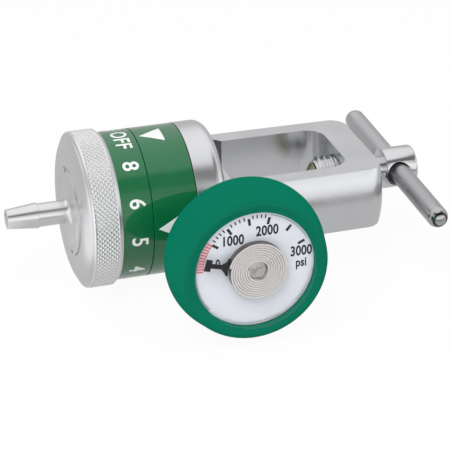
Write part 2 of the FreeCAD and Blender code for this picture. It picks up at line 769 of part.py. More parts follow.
# Gauge stem with its hexagon and socket, and the washer under it
stem = on_gauge(turned("stem_turning", [
    ("gauge_port_end + 1", "gauge_passage_radius"),
    ("gauge_port_end + 1", "gauge_port_radius"),
    (spot_face_at + " + gauge_seal_thickness", "gauge_port_radius"),
    ("gauge_hex_end", "gauge_neck_radius"),
    ("gauge_collar_start", "gauge_neck_radius"),
    ("gauge_collar_start", "gauge_collar_radius"),
    ("case_back", "gauge_collar_radius"),
    ("case_back", "gauge_socket_radius"),
    ("dial_front - dial_thickness", "gauge_socket_radius"),
    ("dial_front - dial_thickness", "post_radius"),
    ("dial_front - dial_thickness - post_sink", "post_radius"),
    ("dial_front - dial_thickness - post_sink", "gauge_passage_radius"),
]))
hexagon = doc.addObject("Part::Prism", "stem_hexagon")
hexagon.Polygon = 6
hexagon.setExpression("Circumradius", bound("gauge_hex_flats / sqrt(3)"))
hexagon.setExpression("Height", bound("gauge_hex_end - " + spot_face_at + " - gauge_seal_thickness"))
hexagon.Placement = FreeCAD.Placement(FreeCAD.Vector(0, 0, 0), TURN_TO["front"])
place(hexagon, ("gauge_x", "-" + spot_face_at + " - gauge_seal_thickness", "0"))
stem_bore = rod("stem_bore", "gauge_passage_radius", "case_back", ("gauge_x", "-gauge_port_end", "0"), "front")
node("gauge_stem", cut_from("gauge_stem", joined("stem_blank", [stem, hexagon]), [stem_bore]))
node("gauge_washer", on_gauge(turned("gauge_washer", [
    (spot_face_at, "gauge_port_radius"),
    (spot_face_at, "gauge_seal_radius"),
    (spot_face_at + " + gauge_seal_thickness", "gauge_seal_radius"),
    (spot_face_at + " + gauge_seal_thickness", "gauge_port_radius"),
])))

# Gauge case, a thin cup a little off the stem's axis
case_x = "gauge_x + case_offset"
cup = on_gauge(turned("case_cup", [
    ("case_back", "0"),
    ("case_back", "case_radius"),
    ("case_front", "case_radius"),
    ("case_front", "case_radius - case_wall"),
    ("case_back + case_floor", "case_radius - case_wall"),
    ("case_back + case_floor", "0"),
]), where=case_x)
node("gauge_case", cut_from("gauge_case", cup, [
    rod("case_hole", "gauge_socket_radius", "case_floor + 2", ("gauge_x", "1 - case_back", "0"), "front")]))

# Rubber boot round the case
boot = turned("gauge_boot", [
    ("boot_back", "gauge_collar_radius + boot_hole_gap"),
    ("boot_back", "case_radius + boot_back_wall"),
    ("boot_waist", "case_radius + boot_waist_wall"),
    ("boot_front", "case_radius + boot_front_wall"),
    ("boot_lip_front", "case_radius - boot_lip_cover"),
    ("case_front", "case_radius - boot_lip_cover"),
    ("case_front", "case_radius"),
    ("case_back", "case_radius"),
    ("case_back", "gauge_collar_radius + boot_hole_gap"),
])
rounded(boot, "boot_back_rounding", [("boot_back", "case_radius + boot_back_wall")])
rounded(boot, "boot_waist_rounding", [("boot_waist", "case_radius + boot_waist_wall")])
rounded(boot, "boot_front_rounding", [("boot_front", "case_radius + boot_front_wall")])
node("gauge_boot", on_gauge(boot, where=case_x))

# Dial plate
plate = on_gauge(turned("dial_plate", [
    ("dial_front - dial_thickness", "0"),
    ("dial_front - dial_thickness", "case_radius - case_wall - dial_gap"),
    ("dial_front", "case_radius - case_wall - dial_gap"),
    ("dial_front", "0"),
]), where=case_x)
node("gauge_dial", cut_from("gauge_dial", plate, [
    rod("dial_hole", "post_radius", "dial_thickness + 2", ("gauge_x", "dial_thickness + 1 - dial_front", "0"), "front")]))

# Clear lens that stands out of the boot
lens_radius = "case_radius - boot_lip_cover - lens_lip_gap"
lens = turned("gauge_lens", [
    ("dial_front", lens_radius + " - lens_thickness"),
    ("dial_front", "case_radius - case_wall - lens_flange_gap"),
    ("case_front", "case_radius - case_wall - lens_flange_gap"),
    ("case_front", lens_radius),
    ("lens_front", lens_radius),
    ("lens_front", "0"),
    ("lens_front - lens_thickness", "0"),
    ("lens_front - lens_thickness", lens_radius + " - lens_thickness"),
])
rounded(lens, "lens_rounding", [("lens_front", lens_radius)])
rounded(lens, "lens_rounding - lens_thickness", [("lens_front - lens_thickness", lens_radius + " - lens_thickness")])
node("gauge_lens", on_gauge(lens, where=case_x))

# Slotted centre post that holds the dial and the inner end of the coil
post = on_gauge(turned("post_turning", [
    ("dial_front - dial_thickness - post_sink", "0"),
    ("dial_front - dial_thickness - post_sink", "post_radius"),
    ("dial_front", "post_radius"),
    ("dial_front", "post_collar_radius"),
    ("dial_front + post_collar_height", "post_collar_radius"),
    ("dial_front + post_collar_height", "post_nub_radius"),
    ("post_front", "post_nub_radius"),
    ("post_front", "0"),
]))
slot = block("post_slot", ("4 * post_nub_radius", "post_slot_depth + 1", "post_slot_width"),
             ("gauge_x - 2 * post_nub_radius", "-post_front - 1", "-post_slot_width / 2"))
node("gauge_post", cut_from("gauge_post", post, [slot]))

# Flat spiral pressure coil, wound from half circles about two centres
pitch = amount("coil_pitch")
ribbon = amount("coil_ribbon")
inner_arcs = []
outer_arcs = []
for number in range(COIL_HALF_TURNS):
    side = 1 if number % 2 == 0 else -1
    centre_z = 0.0 if number % 2 == 0 else -pitch / 2
    low = amount("coil_start_radius") + number * pitch / 2
    for radius, store in ((low, inner_arcs), (low + ribbon, outer_arcs)):
        store.append(Part.Arc(FreeCAD.Vector(0, 0, centre_z - side * radius),
                              FreeCAD.Vector(side * radius, 0, centre_z),
                              FreeCAD.Vector(0, 0, centre_z + side * radius)).toShape())
start_line = Part.LineSegment(outer_arcs[0].Vertexes[0].Point, inner_arcs[0].Vertexes[0].Point).toShape()
end_line = Part.LineSegment(inner_arcs[-1].Vertexes[-1].Point, outer_arcs[-1].Vertexes[-1].Point).toShape()
coil_wire = Part.Wire(Part.__sortEdges__(inner_arcs + outer_arcs + [start_line, end_line]))
coil = doc.addObject("Part::Feature", "gauge_coil")
coil.Shape = Part.Face(coil_wire).extrude(FreeCAD.Vector(0, -(amount("coil_front") - amount("coil_back")), 0))
coil.Placement = FreeCAD.Placement(FreeCAD.Vector(0, 0, 0),
                                   FreeCAD.Rotation(FreeCAD.Vector(0, 1, 0), 180 - amount("pointer_angle")))
place(coil, ("gauge_x", "-coil_back", "0"))
node("gauge_coil", coil)

# Pointer: a curved foot at the coil, an arm and a broad flag
outer_coil = "coil_start_radius + %d * coil_pitch / 2 + coil_ribbon" % (COIL_HALF_TURNS - 1)
foot_inner = "(%s + coil_pitch / 2 + pointer_root_gap)" % outer_coil
foot_outer = "(%s + coil_pitch / 2 + pointer_root_gap + pointer_root_width)" % outer_coil
pointer = turned("gauge_pointer", [
    ("pointer_back - 0.8", foot_inner),
    ("pointer_back - 0.8", foot_outer),
    ("pointer_front", foot_outer),
    ("pointer_front", foot_inner),
], amount("pointer_root_angle"))
root = foot_inner + " + pointer_root_width / 2"
tip = lens_radius + " - lens_thickness - pointer_tip_gap"
profile = [(root, "pointer_root_half_width"), (foot_outer + " + pointer_taper_length", "pointer_arm_half_width"),
           (tip + " - pointer_flag_length", "pointer_arm_half_width"),
           (tip + " - pointer_flag_length", "pointer_flag_half_width"), (tip, "pointer_flag_half_width")]
flag = outline_sketch(pointer, "pointer_flag",
                      [(reach, "-" + half) for reach, half in profile] + profile[::-1], "YZ_Plane")
flag.setExpression("AttachmentOffset.Base.z", bound("pointer_back"))
flag_pad = pointer.newObject("PartDesign::Pad", "pointer_flag_pad")
flag_pad.Profile = flag
flag_pad.setExpression("Length", bound("pointer_front - pointer_back"))
pointer.Tip = flag_pad
doc.recompute()
node("gauge_pointer", on_gauge(pointer, 90 + amount("pointer_angle")))

doc.recompute()
faults = []
for thing in doc.Objects:
    if "Invalid" in thing.State or "Error" in thing.State:
        faults.append("%s is in error" % thing.Name)
for thing in nodes:
    if thing.Shape.isNull() or not thing.Shape.isValid():
        faults.append("%s has no valid shape" % thing.Label)
    elif len(thing.Shape.Solids) != 1:
        faults.append("%s has %d solids" % (thing.Label, len(thing.Shape.Solids)))
if faults:
    raise SystemExit("\n".join(faults))
for thing in nodes:
    thing.Shape.exportStep("parts/%s.step" % thing.Label)
    box = thing.Shape.BoundBox
    print("%-18s %8.2f %8.2f | %8.2f %8.2f | %8.2f %8.2f | %9.1f" % (
        thing.Label, box.XMin, box.XMax, box.YMin, box.YMax, box.ZMin, box.ZMax, thing.Shape.Volume))
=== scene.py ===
import math
import bmesh
import bpy
import numpy as np
from mathutils import Matrix, Vector


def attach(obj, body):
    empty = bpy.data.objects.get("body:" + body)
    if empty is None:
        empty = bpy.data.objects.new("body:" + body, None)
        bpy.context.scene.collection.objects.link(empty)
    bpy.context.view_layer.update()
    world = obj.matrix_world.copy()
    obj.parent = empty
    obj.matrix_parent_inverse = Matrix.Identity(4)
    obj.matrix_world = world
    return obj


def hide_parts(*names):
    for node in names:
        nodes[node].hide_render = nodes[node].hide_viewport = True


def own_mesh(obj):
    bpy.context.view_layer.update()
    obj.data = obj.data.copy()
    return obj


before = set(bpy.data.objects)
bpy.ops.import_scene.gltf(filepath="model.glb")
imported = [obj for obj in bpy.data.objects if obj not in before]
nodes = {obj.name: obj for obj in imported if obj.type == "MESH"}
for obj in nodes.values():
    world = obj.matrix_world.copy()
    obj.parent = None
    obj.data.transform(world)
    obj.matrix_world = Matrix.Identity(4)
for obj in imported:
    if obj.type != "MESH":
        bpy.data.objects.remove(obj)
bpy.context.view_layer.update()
MM = 0.001

# Camera
# The regulator is seen from the left of the gauge and from above, through a
# long lens, with the hose barb at the left edge of the picture.
azimuth = math.radians(-17.1)
elevation = math.radians(25.78)
roll = -0.007
distance = 700 * MM
looked_at = np.array([2.0, 0.0, -11.85]) * MM
focal_pixels, photo_pixels, sensor_width = 2306, 450, 36
back = np.array([math.sin(azimuth) * math.cos(elevation), -math.cos(azimuth) * math.cos(elevation),
                 math.sin(elevation)])
level = np.array([math.cos(azimuth), math.sin(azimuth), 0.0])
upward = np.cross(back, level)
right = math.cos(roll) * level + math.sin(roll) * upward
top = -math.sin(roll) * level + math.cos(roll) * upward
camera = bpy.data.objects.new("photo_camera", bpy.data.cameras.new("photo_camera"))
camera.data.sensor_width = sensor_width
camera.data.sensor_fit = "HORIZONTAL"
camera.data.lens = focal_pixels / photo_pixels * sensor_width
camera.data.clip_end = 10
placing = np.eye(4)
placing[:3, 0], placing[:3, 1], placing[:3, 2] = right, top, back
placing[:3, 3] = looked_at + distance * back
camera.matrix_world = Matrix(placing.tolist())
bpy.context.scene.collection.objects.link(camera)
bpy.context.scene.camera = camera
bpy.context.scene.view_settings.view_transform = "Standard"


# Studio light
# One large soft lamp above and to the left and a weaker one at the right light
# the paint and rubber. Polished metal sees a pale room instead: a bright
# ceiling, a dark band above the camera, a bright board level with it, a dimmer
# backdrop and the table.
def new_tree(owner):
    """Empty node tree of a material or of the world."""
    owner.use_nodes = True
    tree = owner.node_tree
    tree.nodes.clear()
    return tree


def add(tree, kind, values=None, **settings):
    """One node, its settings, and its input values or incoming links by name or number."""
    part = tree.nodes.new(kind)
    for key, value in settings.items():
        setattr(part, key, value)
    for key, value in (values or {}).items():
        socket = part.inputs[key]
        if isinstance(value, bpy.types.NodeSocket):
            tree.links.new(value, socket)
        else:
            socket.default_value = value
    return part


def ramp(tree, factor, stops):
    """Colour ramp whose stops are (position, grey or colour)."""
    part = add(tree, "ShaderNodeValToRGB", {"Fac": factor})
    band = part.color_ramp.elements
    while len(band) < len(stops):
        band.new(0.5)
    for element, (position, colour) in zip(band, stops):
        element.position = position
        element.color = (colour, colour, colour, 1) if isinstance(colour, (int, float)) else (*colour, 1)
    return part.outputs["Color"]


def sums(tree, operation, first, second=0.5, third=0.5):
    """One step of arithmetic on numbers or links."""
    return add(tree, "ShaderNodeMath", {0: first, 1: second, 2: third}, operation=operation).outputs[0]


def product(tree, first, *others):
    """Numbers or links multiplied with one another."""
    for other in others:
        first = sums(tree, "MULTIPLY", first, other)
    return first


def mixed(tree, share, first, second, **settings):
    """Colour between two colours, or links to colours, by a share from 0 to 1."""
    return add(tree, "ShaderNodeMix", {0: share, 6: first, 7: second}, data_type="RGBA", **settings).outputs[2]


world = bpy.data.worlds.new("studio_room")
bpy.context.scene.world = world
room = new_tree(world)
direction = add(room, "ShaderNodeSeparateXYZ", {0: add(room, "ShaderNodeTexCoord").outputs["Generated"]})
height = sums(room, "MULTIPLY_ADD", direction.outputs["Z"], 0.5, 0.5)
in_front = ramp(room, height, [
    (0.0, 0.8), (0.46, 0.98), (0.585, 1.2), (0.67, 1.1), (0.74, 0.76), (0.80, 0.64), (0.84, 0.2), (0.925, 0.2),
    (0.955, 1.0)])
behind = ramp(room, height, [
    (0.0, 0.6), (0.5, 0.55), (0.62, 0.58), (0.70, 0.66), (0.78, 0.90), (0.86, 1.0), (1.0, 1.05)])
far_side = ramp(room, sums(room, "MULTIPLY_ADD", direction.outputs["Y"], 0.5, 0.5), [(0.42, 0.0), (0.60, 1.0)])
seen_room = mixed(room, far_side, in_front, behind)
paths = add(room, "ShaderNodeLightPath")
mirror_ray = sums(room, "MAXIMUM", paths.outputs["Is Glossy Ray"], paths.outputs["Is Transmission Ray"])
soft_fill = add(room, "ShaderNodeBackground", {"Color": (0.97, 0.98, 1.0, 1), "Strength": 0.62})
mirror_view = add(room, "ShaderNodeBackground", {"Color": seen_room, "Strength": 1.0})
white_view = add(room, "ShaderNodeBackground", {"Color": (1, 1, 1, 1), "Strength": 1.0})
lit_or_mirror = add(room, "ShaderNodeMixShader", {0: mirror_ray, 1: soft_fill.outputs[0], 2: mirror_view.outputs[0]})
all_rays = add(room, "ShaderNodeMixShader", {
    0: paths.outputs["Is Camera Ray"], 1: lit_or_mirror.outputs[0], 2: white_view.outputs[0]})
add(room, "ShaderNodeOutputWorld", {"Surface": all_rays.outputs[0]})

lit_point = Vector((0, 0, -0.01))
for name, size, watts, place in (("main_softbox", 0.55, 5.2, (-0.35, -0.45, 0.75)),
                                 ("side_softbox", 0.4, 0.7, (0.7, -0.35, 0.35))):
    lamp = bpy.data.lights.new(name, "AREA")
    lamp.shape = "SQUARE"
    lamp.size = size
    lamp.energy = watts
    stand = bpy.data.objects.new(name, lamp)
    stand.location = place
    stand.visible_glossy = False
    stand.rotation_euler = (lit_point - Vector(place)).to_track_quat("-Z", "Y").to_euler()
    bpy.context.scene.collection.objects.link(stand)

# Table
# A plain white sweep just under the boot, which is the lowest piece.
floor_mesh = bpy.data.meshes.new("table")
reach, table_top = 4.0, -24.3 * MM
floor_mesh.from_pydata([(-reach, -reach, table_top), (reach, -reach, table_top), (reach, reach, table_top),
                        (-reach, reach, table_top)], [], [(0, 1, 2, 3)])
table = bpy.data.objects.new("table", floor_mesh)
bpy.context.scene.collection.objects.link(table)
table_white = bpy.data.materials.new("table_white")
tree = new_tree(table_white)
paths = add(tree, "ShaderNodeLightPath")
seen = sums(tree, "MAXIMUM", paths.outputs["Is Camera Ray"],
            sums(tree, "MAXIMUM", paths.outputs["Is Glossy Ray"], paths.outputs["Is Transmission Ray"]))
paper = add(tree, "ShaderNodeBsdfDiffuse", {"Color": (0.9, 0.9, 0.9, 1)})
glow = add(tree, "ShaderNodeEmission", {"Color": (1, 1, 1, 1), "Strength": 1.0})
glow_share = 0.945
white_table = add(tree, "ShaderNodeMixShader", {
    0: product(tree, seen, glow_share), 1: paper.outputs[0], 2: glow.outputs[0]})


def object_place(tree):
    """The point being shaded, in the shared frame."""
    return add(tree, "ShaderNodeTexCoord").outputs["Object"]


def object_axes(tree):
    """The point being shaded as its X, Y and Z."""
    return add(tree, "ShaderNodeSeparateXYZ", {0: object_place(tree)}).outputs


# Metal sees a painted shadow, a grey strip on the table in front of it, and a white card at the left.
spot = object_axes(tree)
table_x = sums(tree, "ADD", spot["X"], 0.5)
table_y = sums(tree, "ADD", spot["Y"], 0.5)
painted_shadow_strip = ramp(tree, table_y, [
    (0.24, 1.0), (0.31, 0.80), (0.355, 0.28), (0.39, 0.28), (0.43, 0.60), (0.50, 0.60), (0.8, 0.60)])
left_card = product(tree, ramp(tree, table_x, [(0.432, 1.0), (0.440, 0.0)]),
                    ramp(tree, table_y, [(0.525, 1.0), (0.55, 0.0)]))
mirrored = add(tree, "ShaderNodeEmission", {"Color": mixed(tree, left_card, painted_shadow_strip, (1, 1, 1, 1)), "Strength": 1.0})
whole_table = add(tree, "ShaderNodeMixShader", {
    0: paths.outputs["Is Glossy Ray"], 1: white_table.outputs[0], 2: mirrored.outputs[0]})
add(tree, "ShaderNodeOutputMaterial", {"Surface": whole_table.outputs[0]})
floor_mesh.materials.append(table_white)


# Regulator body
# One piece of aluminium bar: a round head, a slab milled flat above and below
# and a window through it for the cylinder valve. It is turned, milled and
# given a bright satin finish.
def effect_group(name, inputs, outputs):
    """Empty shader node group with named number, vector and colour sockets."""
    group = bpy.data.node_groups.new(name, "ShaderNodeTree")
    kinds = {"n": "NodeSocketFloat", "v": "NodeSocketVector", "c": "NodeSocketColor"}
    for label, kind in inputs:
        group.interface.new_socket(label, in_out="INPUT", socket_type=kinds[kind])
    for label, kind in outputs:
        group.interface.new_socket(label, in_out="OUTPUT", socket_type=kinds[kind])
    return group


def hypotenuse(tree, first, second):
    """Root of the sum of two squares."""
    return sums(tree, "SQRT", sums(tree, "ADD", product(tree, first, first), product(tree, second, second)))


turned_marks = effect_group("turned_marks", [("Place", "v"), ("Fineness", "n")], [("Marks", "n"), ("Smears", "n")])
start = add(turned_marks, "NodeGroupInput")
spot = add(turned_marks, "ShaderNodeSeparateXYZ", {0: start.outputs["Place"]}).outputs
rings = add(turned_marks, "ShaderNodeCombineXYZ", {
    0: product(turned_marks, spot["X"], start.outputs["Fineness"]),
    1: product(turned_marks, hypotenuse(turned_marks, spot["Y"], spot["Z"]), start.outputs["Fineness"]), 2: 0.0})
lines = add(turned_marks, "ShaderNodeTexNoise", {
    "Vector": rings.outputs[0], "Scale": 1.0, "Detail": 3.0, "Roughness": 0.6})
clouds = add(turned_marks, "ShaderNodeTexNoise", {
    "Vector": start.outputs["Place"], "Scale": 90.0, "Detail": 4.0, "Roughness": 0.55})
add(turned_marks, "NodeGroupOutput", {"Marks": lines.outputs[0], "Smears": clouds.outputs[0]})


def metal(name, colour, rough, marks, fineness, centre=(0, 0, 0), turn=(0, 0, 0), spread=0.10):
    """Polished or satin metal: fine rings round the axis of the work in the bump, uneven roughness from handling."""
    paint = bpy.data.materials.new(name)
    tree = new_tree(paint)
    place = add(tree, "ShaderNodeMapping", {"Vector": object_place(tree), "Location": centre, "Rotation": turn},
                vector_type="TEXTURE")
    effect = add(tree, "ShaderNodeGroup", node_tree=turned_marks)
    tree.links.new(place.outputs[0], effect.inputs["Place"])
    effect.inputs["Fineness"].default_value = fineness
    uneven = add(tree, "ShaderNodeMapRange", {"Value": effect.outputs["Smears"], "From Min": 0.3, "From Max": 0.7,
                 "To Min": rough - spread / 2, "To Max": rough + spread / 2})
    shade = ramp(tree, effect.outputs["Smears"], [(0.3, tuple(c * 0.95 for c in colour)), (0.7, colour)])
    edges = add(tree, "ShaderNodeBevel", {"Radius": 0.00025}, samples=4)
    relief = add(tree, "ShaderNodeBump", {"Height": effect.outputs["Marks"], "Strength": 1.0, "Distance": marks,
                 "Normal": edges.outputs[0]})
    surface = add(tree, "ShaderNodeBsdfPrincipled", {
        "Base Color": shade, "Metallic": 1.0, "Roughness": uneven.outputs[0], "Normal": relief.outputs[0]})
    add(tree, "ShaderNodeOutputMaterial", {"Surface": surface.outputs[0]})
    return paint


def dress(node, paint):
    """Give a CAD node its finish through its own material slots."""
    for held in nodes[node].material_slots:
        held.material = paint


def between(tree, value, low, high):
    """1 where the value lies between low and high, else 0."""
    return product(tree, sums(tree, "GREATER_THAN", value, low), sums(tree, "LESS_THAN", value, high))


def parts_of(paint):
    """A paint's tree, its shader and the X, Y and Z being shaded, to add to a paint that is made already."""
    return paint.node_tree, paint.node_tree.nodes["Principled BSDF"], object_axes(paint.node_tree)


def source(shader, socket):
    """What feeds an input of the shader."""
    return shader.inputs[socket].links[0].from_socket


def painted(paint, places):
    """Paint parts of a metal. Each place is (lowest x, highest x, lowest radius, highest radius, colour).

    The lengths are in metres, and the radius is taken from the bar's axis."""
    tree, shader, spot = parts_of(paint)
    radius = hypotenuse(tree, spot["Y"], spot["Z"])
    colour, bare = source(shader, "Base Color"), 1.0
    for x_low, x_high, r_low, r_high, tint in places:
        there = product(tree, between(tree, spot["X"], x_low, x_high), between(tree, radius, r_low, r_high))
        colour = mixed(tree, there, colour, (*tint, 1))
        bare = sums(tree, "SUBTRACT", bare, there)
    tree.links.new(colour, shader.inputs["Base Color"])
    tree.links.new(bare, shader.inputs["Metallic"])


satin_aluminium = metal("satin_aluminium", (0.74, 0.745, 0.76), 0.24, 0.000004, 9000)
# The end faces at the gap between the knob and the head are painted a bright green, painted light that keeps the narrow
# gap from going black in its shade.
gap_light_green, groove_shade_black, flare_shade_grey = (0.012, 0.30, 0.11), (0.01, 0.012, 0.01), (0.24, 0.245, 0.25)
gap_radii = (0.0193, 0.03)
# The groove at the label's end is painted black, a painted shadow along the line.
painted(satin_aluminium, [(-0.02605, -0.02595, *gap_radii, gap_light_green),
                          (-0.01275, -0.01238, 0.0215, 0.02212, groove_shade_black)])
# The flared walls at the head's end of the window are painted darker, a painted shade for that shadowed corner.
flare_y, flare_x, flare_z = (0.01431, 0.0164), (0.0005, 0.0054), (-0.0095, 0.0095)
tree, shader, spot = parts_of(satin_aluminium)
in_shaded_flare = product(tree, between(tree, sums(tree, "ABSOLUTE", spot["Y"]), *flare_y),
                   between(tree, spot["X"], *flare_x), between(tree, spot["Z"], *flare_z))
tree.links.new(mixed(tree, in_shaded_flare, source(shader, "Base Color"), (*flare_shade_grey, 1)), shader.inputs["Base Color"])
dress("regulator_body", satin_aluminium)
dress("chamber_cover", satin_aluminium)


# Fixed label
# A green film wrapped round the head, with two white arrows that point at the
# flow number in use. The film is glossy and lies in a shallow recess.
def enamel(name, colour, rough, coat, mottle=0.06):
    """Coloured film, paint or plastic: slight mottling of colour and gloss under a clear coat."""
    paint = bpy.data.materials.new(name)
    tree = new_tree(paint)
    place = object_place(tree)
    cloud = add(tree, "ShaderNodeTexNoise", {"Vector": place, "Scale": 220.0, "Detail": 5.0, "Roughness": 0.6})
    grain = add(tree, "ShaderNodeTexNoise", {"Vector": place, "Scale": 2600.0, "Detail": 2.0})
    shade = ramp(tree, cloud.outputs[0], [(0.3, tuple(c * (1 - mottle) for c in colour)),
                                          (0.7, tuple(min(1, c * (1 + mottle)) for c in colour))])
    uneven = add(tree, "ShaderNodeMapRange", {"Value": cloud.outputs[0], "From Min": 0.3, "From Max": 0.7,
                 "To Min": rough * 0.85, "To Max": rough * 1.15})
    relief = add(tree, "ShaderNodeBump", {"Height": grain.outputs[0], "Strength": 1.0, "Distance": 0.000003})
    surface = add(tree, "ShaderNodeBsdfPrincipled", {
        "Base Color": shade, "Roughness": uneven.outputs[0], "Specular IOR Level": 0.3, "Coat Weight": coat,
        "Coat Roughness": 0.04, "Normal": relief.outputs[0]})
    add(tree, "ShaderNodeOutputMaterial", {"Surface": surface.outputs[0]})
    return paint


label_green = enamel("label_green", (0.002, 0.132, 0.042), 0.35, 1.0)
dress("fixed_label", label_green)
print_white = enamel("print_white", (0.86, 0.88, 0.86), 0.35, 0.3)


def flat_print(name, outline, thickness):
    """Closed thin plate from a flat outline of (u, v) corners in millimetres."""
    flat = np.array(outline, float)
    count = len(flat)
    low = np.column_stack([flat, np.zeros(count)])
    high = np.column_stack([flat, np.full(count, thickness)])
    sides = [(k, (k + 1) % count, (k + 1) % count + count, k + count) for k in range(count)]
    mesh = bpy.data.meshes.new(name)
    ends = [tuple(range(count))[::-1], tuple(range(count, 2 * count))]
    mesh.from_pydata(np.vstack([low, high]).tolist(), [], ends + sides)
    return mesh


def spots_of(mesh):
    """The mesh's points as rows of three numbers."""
    spots = np.zeros(len(mesh.vertices) * 3)
    mesh.vertices.foreach_get("co", spots)
    return spots.reshape(-1, 3)


def flat_text(name, words, height, weight, stretch, thickness):
    """Closed thin letters, centred, as tall as stated, with u to the right and v up."""
    curve = bpy.data.curves.new(name, "FONT")
    curve.body = words
    curve.size = 1.0
    curve.offset = weight
    curve.extrude = 0.5
    curve.resolution_u = 8
    curve.space_character = 1.05
    holder = bpy.data.objects.new(name, curve)
    bpy.context.scene.collection.objects.link(holder)
    bpy.context.view_layer.update()
    mesh = bpy.data.meshes.new_from_object(holder.evaluated_get(bpy.context.evaluated_depsgraph_get()))
    bpy.data.objects.remove(holder)
    spots = spots_of(mesh)
    low, high = spots.min(0), spots.max(0)
    scale = height / (high[1] - low[1])
    spots[:, :2] = (spots[:, :2] - (low[:2] + high[:2]) / 2) * scale * np.array([stretch, 1.0])
    spots[:, 2] = (spots[:, 2] + 0.5) * thickness
    mesh.vertices.foreach_set("co", spots.ravel())
    return mesh


def sliced(mesh, step):
    """Cut a flat print into strips across v so that it can bend round a cylinder."""
    work = bmesh.new()
    work.from_mesh(mesh)
    bmesh.ops.remove_doubles(work, verts=work.verts, dist=1e-6)
    reach = max(abs(corner.co.x) for corner in work.verts)
    for cut in np.arange(-reach, reach, step):
        everything = work.verts[:] + work.edges[:] + work.faces[:]
        bmesh.ops.bisect_plane(work, geom=everything, plane_co=(cut, 0, 0), plane_no=(1, 0, 0))
    bmesh.ops.triangulate(work, faces=work.faces)
    bmesh.ops.recalc_face_normals(work, faces=work.faces)
    work.to_mesh(mesh)
    work.free()
    return mesh


def finished(name, mesh, paint, body):
    """Make the mesh a piece of the object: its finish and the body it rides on."""
    mesh.materials.clear()
    mesh.materials.append(paint)
    piece = bpy.data.objects.new(name, mesh)
    bpy.context.scene.collection.objects.link(piece)
    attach(piece, body)
    return piece


print_radius, print_thickness, strip_width = 22.15, 0.03, 0.4


def round_bar_print(mesh, middle_x, middle_angle):
    """Bend a flat print round the bar, its middle at an x and an angle up from the front.

    u runs down the front as arc length, v runs along +X, and the third value is height off the film."""
    u, v, w = spots_of(mesh).T
    angle = math.radians(middle_angle) - u / print_radius
    out = print_radius + w
    bent = np.column_stack([middle_x + v, -out * np.cos(angle), out * np.sin(angle)]) * MM
    mesh.vertices.foreach_set("co", bent.ravel())
    return mesh


arrow_x, arrow_half_width, arrow_half_length = -21.4, 3.7, 3.45
arrow_outline = [(-arrow_half_width, arrow_half_length), (0.0, -arrow_half_length),
                 (arrow_half_width, arrow_half_length)]
for name, middle in (("arrow_top", 84.5), ("arrow_front", 2.4)):
    arrow = sliced(flat_print(name, arrow_outline, print_thickness), strip_width)
    finished(name, round_bar_print(arrow, arrow_x, middle), print_white, "regulator")

# Inlet and inside pieces
# Ground steel nipple with a sintered filter, a white sealing washer round it and
# two steel pins that fit the index holes of an oxygen valve. Inside are a brass
# piston with a white seat and black seal, and steel pins, plate, ball and spring.
brass = metal("turned_brass", (0.40, 0.365, 0.26), 0.30, 0.000004, 9000)
sintered_bronze = metal("sintered_bronze", (0.34, 0.29, 0.24), 0.6, 0.00002, 5000)
ground_steel = metal("ground_steel", (0.56, 0.57, 0.58), 0.25, 0.000003, 12000)
washer_white = enamel("washer_white", (0.8, 0.8, 0.77), 0.5, 0.0)
dress("inlet_nipple", ground_steel)
dress("inlet_filter", sintered_bronze)
dress("sealing_washer", washer_white)
for node in ("index_pin_front", "index_pin_back", "drive_pin_front", "drive_pin_back", "orifice_plate",
             "detent_ball", "detent_spring"):
    dress(node, ground_steel)
dress("piston", brass)
dress("valve_seat", washer_white)
seal_black = enamel("seal_black", (0.02, 0.02, 0.02), 0.55, 0.0)
dress("piston_seal", seal_black)


# Flow knob
# A turned aluminium cap with a diamond knurl round its rim, a rounded front
# shoulder and a flat face with a counterbore for the outlet disc.
def surface(name, grid, wrap_u=True, wrap_v=True, sharp=35.0):
    """Mesh from a grid of points in millimetres: rows along u and columns along v, each way open or joined round.

    Points at one place are merged, and edges sharper than an angle stay sharp."""
    rows, columns = grid.shape[:2]
    u = np.arange(rows if wrap_u else rows - 1)
    v = np.arange(columns if wrap_v else columns - 1)
    first, second = np.meshgrid(u, v, indexing="ij")
    next_u, next_v = (first + 1) % rows, (second + 1) % columns
    corners = np.stack([first * columns + second, first * columns + next_v,
                        next_u * columns + next_v, next_u * columns + second], -1)
    mesh = bpy.data.meshes.new(name)
    mesh.from_pydata((grid.reshape(-1, 3) * MM).tolist(), [], corners.reshape(-1, 4).tolist())
    work = bmesh.new()
    work.from_mesh(mesh)
    bmesh.ops.remove_doubles(work, verts=work.verts, dist=1e-7)
    bmesh.ops.dissolve_degenerate(work, edges=work.edges, dist=1e-8)
    bmesh.ops.recalc_face_normals(work, faces=work.faces)
    work.to_mesh(mesh)
    work.free()
    mesh.polygons.foreach_set("use_smooth", np.ones(len(mesh.polygons), bool))
    mesh.set_sharp_from_angle(angle=math.radians(sharp))
    return mesh


def softened(corners, steps=6):
    """Profile with rounded corners: each corner is (x, r) or (x, r, radius).

    An arc of that radius is laid between the two straight lines that meet there."""
    points = []
    count = len(corners)
    for k, corner in enumerate(corners):
        here = np.array(corner[:2], float)
        size = corner[2] if len(corner) > 2 else 0.0
        if size == 0:
            points.append(here[None])
            continue
        before = np.array(corners[k - 1][:2], float) - here
        after = np.array(corners[(k + 1) % count][:2], float) - here
        before, after = before / np.linalg.norm(before), after / np.linalg.norm(after)
        half = math.acos(float(np.clip(before @ after, -1, 1))) / 2
        back_off = size / math.tan(half)
        middle = here + (before + after) / np.linalg.norm(before + after) * size / math.sin(half)
        first, last = here + before * back_off - middle, here + after * back_off - middle
        sweep = math.atan2(first[0] * last[1] - first[1] * last[0], float(first @ last))
        turn = np.linspace(0, sweep, steps + 1)[:, None]
        points.append(middle + first * np.cos(turn) + np.array([-first[1], first[0]]) * np.sin(turn))
    return np.vstack(points)


